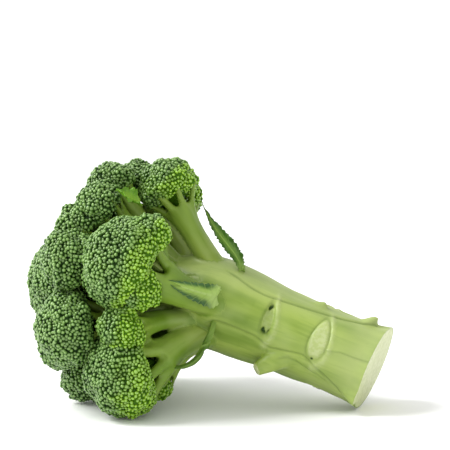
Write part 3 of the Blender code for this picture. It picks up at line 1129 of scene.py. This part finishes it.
print("a blade is", LEAF_ROWS, "faces long and", LEAF_COLUMNS - 1, "across, on two sides")

# %% [markdown]
# The blades are darkest and bluest at their toothed edges and pale along the midrib, and thin
# side veins slant out from it.

# %% The leaves' finish
def leaf_finish(name, edge, blade, rib):
    made = Finish(name, Roughness=0.45, Specular_IOR_Level=0.4)
    along = made.attribute("along")
    across = made.attribute("across")
    place = made.place()
    out = made.node("ShaderNodeMath", {"operation": "ABSOLUTE"}, {0: across})
    slanted = made.node("ShaderNodeMath", {"operation": "FRACT"}, {0: along * 9.0 - out * 1.6})
    vein = made.step(made.node("ShaderNodeMath", {"operation": "ABSOLUTE"}, {0: slanted - 0.5}), 0.36, 0.5)
    patch = made.noise(place, 260.0, 3.0)
    body = made.mix(made.step(out + (patch - 0.5) * 0.5, 0.25, 0.85), blade, edge)
    body = made.mix(vein * 0.3, body, rib)
    body = made.mix(made.step(1.0 - out, 0.8, 0.96) * 0.8, body, rib)
    body = made.mix(made.step(1.0 - along, 0.7, 0.92), body, rib)
    made.feed(Base_Color=body)
    made.feed(Normal=made.bump(vein + patch * 0.6, 0.3 * MM, 0.6))
    return made.material


LEAF_FINISHES = {
    "leaf_long": leaf_finish("leaf_dark", colour(56, 94, 24), colour(92, 128, 40), colour(132, 162, 70)),
    "leaf_small": leaf_finish("leaf_cupped", colour(54, 92, 40), colour(142, 172, 74), colour(158, 184, 100)),
    "leaf_strip": leaf_finish("leaf_stem", colour(78, 112, 28), colour(104, 136, 44), colour(120, 150, 58)),
    "bract": leaf_finish("bract_skin", colour(92, 142, 12), colour(118, 164, 26), colour(132, 172, 48)),
}
for seed, (name, numbers) in enumerate(LEAVES.items()):
    blade = add_object("blade_" + name, leaf_mesh("blade_" + name, *numbers, seed))
    blade.data.materials.append(LEAF_FINISHES.get(name, LEAF_FINISHES["leaf_small"]))
    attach(blade, "root")
    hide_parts(name)
    print(blade.name, triangles(blade), "triangles")

# %% [markdown]
# The camera looks slightly down at the head from its front, a little to the right, through a long
# lens. Its place is given from the centre of the cut face.

# %% Camera
CAMERA_FROM_CUT = Vector((0.0319, -0.5842, 0.1078))
CAMERA_TURN = math.radians(10)
CAMERA_PITCH = math.radians(4)
lens = bpy.data.cameras.new("camera")
lens.lens = 100
lens.sensor_width = 36
camera = add_object("camera", lens)
camera.location = TO_TABLE.translation + CAMERA_FROM_CUT
camera.rotation_euler = (math.pi / 2 - CAMERA_PITCH, 0, CAMERA_TURN)
bpy.context.scene.camera = camera
print("the camera is", round((camera.location - TO_TABLE.translation).length, 3), "m from the cut face")

# %% [markdown]
# A white table runs into a white room, so that only the head's soft shadow shows where it stands.
# A broad lamp from the upper left models the round forms, a weaker and broader one from the left
# lifts their shaded sides, and the camera sees the room as plain white.

# %% Table and light
ROOM_LIGHT = 0.9  # what the room gives the head
ROOM_SEEN = 1.1  # what the camera sees of it
# Each lamp: its strength, how broad it is in degrees, and the way its light travels.
LAMPS = {
    "key_light": (2.5, 26, (0.7, 0.2, -0.9)),
    "fill_light": (1.6, 60, (1, 0.1, -0.35)),
}

bm = bmesh.new()
bmesh.ops.create_grid(bm, x_segments=1, y_segments=1, size=3)
mesh = bpy.data.meshes.new("table_top")
bm.to_mesh(mesh)
bm.free()
table_top = add_object("table_top", mesh)
table_top.location.z = -0.0002
floor_finish = Finish("white_table", Roughness=0.6, Specular_IOR_Level=0.2)
floor_finish.shader.inputs["Base Color"].default_value = (0.96, 0.96, 0.96, 1)
table_top.data.materials.append(floor_finish.material)

scene = bpy.context.scene
scene.view_settings.view_transform = "Standard"
world = bpy.data.worlds.new("studio")
scene.world = world
world.use_nodes = True
nodes, links = world.node_tree.nodes, world.node_tree.links
lit = nodes["Background"]
seen = nodes.new("ShaderNodeBackground")
for room, strength in ((lit, ROOM_LIGHT), (seen, ROOM_SEEN)):
    room.inputs["Color"].default_value = (1, 1, 1, 1)
    room.inputs["Strength"].default_value = strength
either = nodes.new("ShaderNodeMixShader")
links.new(nodes.new("ShaderNodeLightPath").outputs["Is Camera Ray"], either.inputs[0])
links.new(lit.outputs[0], either.inputs[1])
links.new(seen.outputs[0], either.inputs[2])
links.new(either.outputs[0], nodes["World Output"].inputs["Surface"])

for name, (strength, breadth, travels) in LAMPS.items():
    lamp = add_object(name, bpy.data.lights.new(name, "SUN"))
    lamp.data.energy = strength
    lamp.data.angle = math.radians(breadth)
    lamp.rotation_euler = Vector(travels).to_track_quat("-Z", "Y").to_euler()
